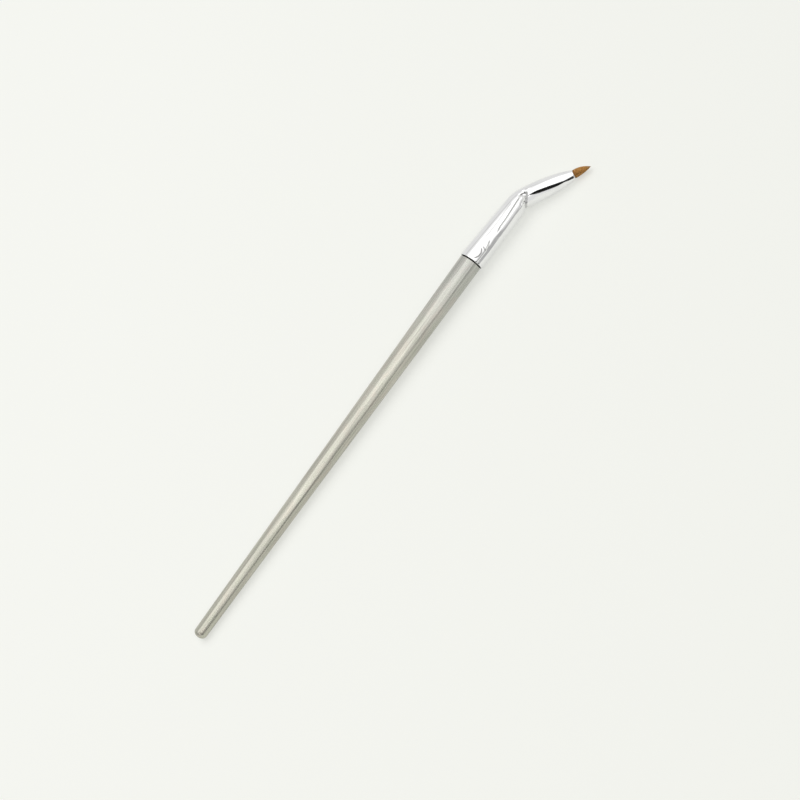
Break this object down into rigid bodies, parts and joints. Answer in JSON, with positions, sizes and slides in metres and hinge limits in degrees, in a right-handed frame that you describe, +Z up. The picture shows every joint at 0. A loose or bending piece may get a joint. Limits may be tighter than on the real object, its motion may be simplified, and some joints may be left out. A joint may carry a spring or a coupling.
{
  "type": "eyeliner brush",
  "caption": "Slim make-up brush with a tapered satin grey handle, a bent chrome ferrule creased at its elbow and a short pointed tuft of hair, lying at rest.",
  "frame": {"origin": "centre of the base of the whole brush's box, on the surface that the brush lies on", "axes": "+X along the handle towards the tuft, +Z up from the surface, and the neck bends towards -Y"},
  "size_m": [0.1688, 0.0162, 0.0073],
  "materials": {
    "handle_lacquer": "satin pearl grey lacquer over turned wood, with fine lengthwise streaks",
    "ferrule_chrome": "bright chrome plate over thin brass, slightly rippled near the crease",
    "hair": "straight amber brown hair, darker at the edges and paler at the tip",
    "adhesive": "set clear amber resin, hidden inside the ferrule"
  },
  "bodies": {
    "root": {"handle": "handle_lacquer", "ferrule": "ferrule_chrome", "bristle_tuft": "hair", "adhesive_plug": "adhesive"}
  },
  "joints": []
}
